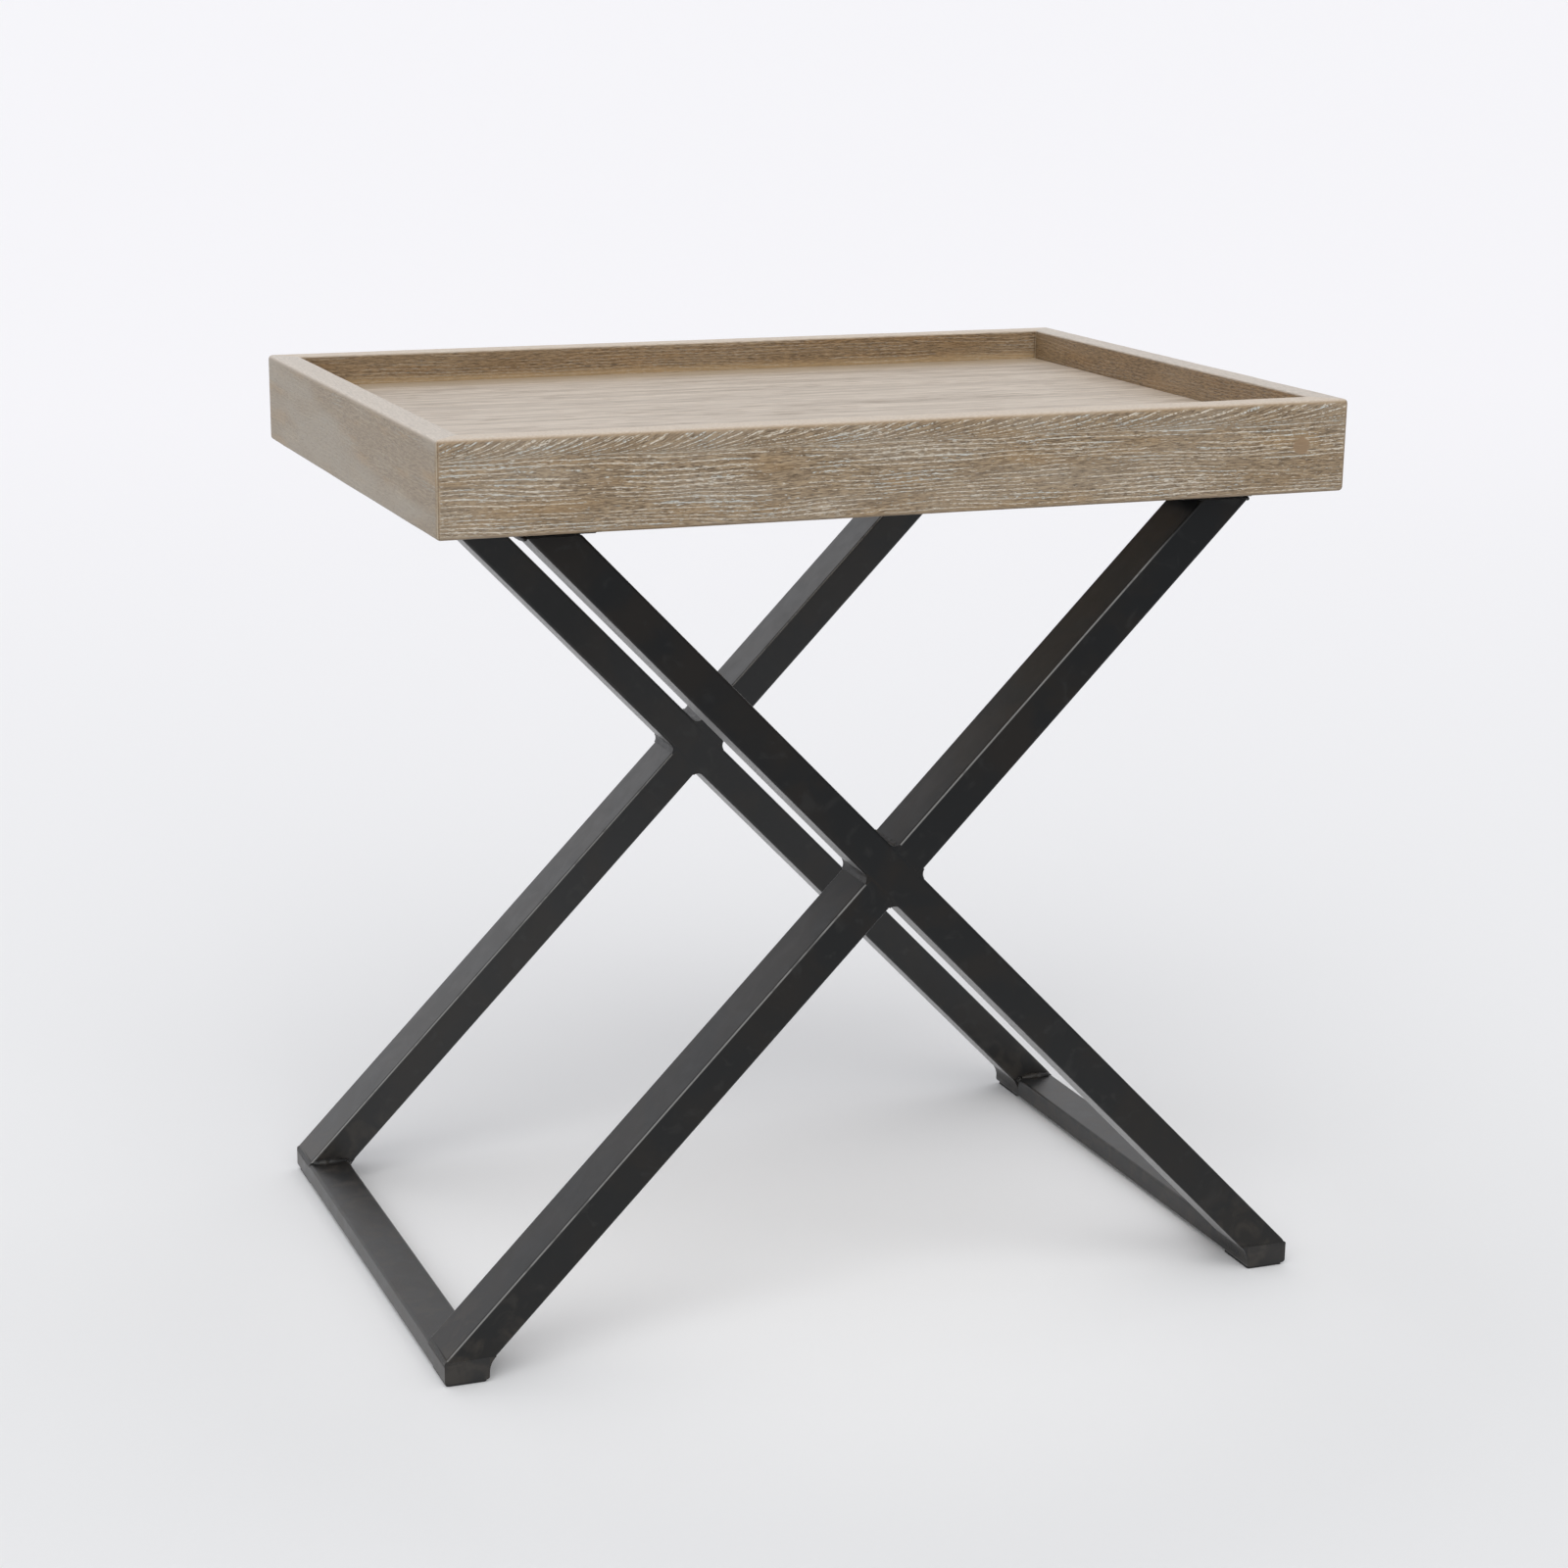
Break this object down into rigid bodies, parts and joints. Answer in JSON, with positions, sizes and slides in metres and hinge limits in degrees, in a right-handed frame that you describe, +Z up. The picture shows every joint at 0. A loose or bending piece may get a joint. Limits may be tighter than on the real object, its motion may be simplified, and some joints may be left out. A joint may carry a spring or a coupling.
{
  "type": "tray side table",
  "caption": "Rectangular side table: a shallow mitred wooden tray on a rigid welded steel base with an X frame at the front and at the back.",
  "frame": {"origin": "on the floor below the middle of the tray", "axes": "+X along the tray's long side, to the right seen from the front; +Y from the front apron to the back one; +Z up"},
  "size_m": [0.61, 0.442, 0.608],
  "materials": {
    "oak_boards": "open-pored limed oak, brushed, matt lacquer",
    "oak_panel": "pale limed oak veneer, matt lacquer",
    "softwood": "planed, unfinished",
    "blackened_steel": "satin blackened steel, slightly mottled",
    "weld_beads": "satin black over rippled weld metal",
    "screws": "black phosphate",
    "pad_rubber": "matt black"
  },
  "bodies": {
    "root": {"tray_board_front": "oak_boards", "tray_board_right": "oak_boards", "tray_board_back": "oak_boards", "tray_board_left": "oak_boards", "tray_panel": "oak_panel", "corner_block_front_left": "softwood", "corner_block_front_right": "softwood", "corner_block_rear_left": "softwood", "corner_block_rear_right": "softwood", "batten_left": "softwood", "batten_right": "softwood", "long_leg_front": "blackened_steel", "upper_leg_front": "blackened_steel", "lower_leg_front": "blackened_steel", "crossing_welds_front": "weld_beads", "long_leg_rear": "blackened_steel", "upper_leg_rear": "blackened_steel", "lower_leg_rear": "blackened_steel", "crossing_welds_rear": "weld_beads", "floor_rail_left": "blackened_steel", "top_bar_left": "blackened_steel", "foot_welds_left": "weld_beads", "bar_welds_left": "weld_beads", "rail_cap_front_left": "blackened_steel", "floor_pad_front_left": "pad_rubber", "rail_cap_rear_left": "blackened_steel", "floor_pad_rear_left": "pad_rubber", "floor_rail_right": "blackened_steel", "top_bar_right": "blackened_steel", "foot_welds_right": "weld_beads", "bar_welds_right": "weld_beads", "rail_cap_front_right": "blackened_steel", "floor_pad_front_right": "pad_rubber", "rail_cap_rear_right": "blackened_steel", "floor_pad_rear_right": "pad_rubber", "bar_screws": "screws"}
  },
  "joints": []
}
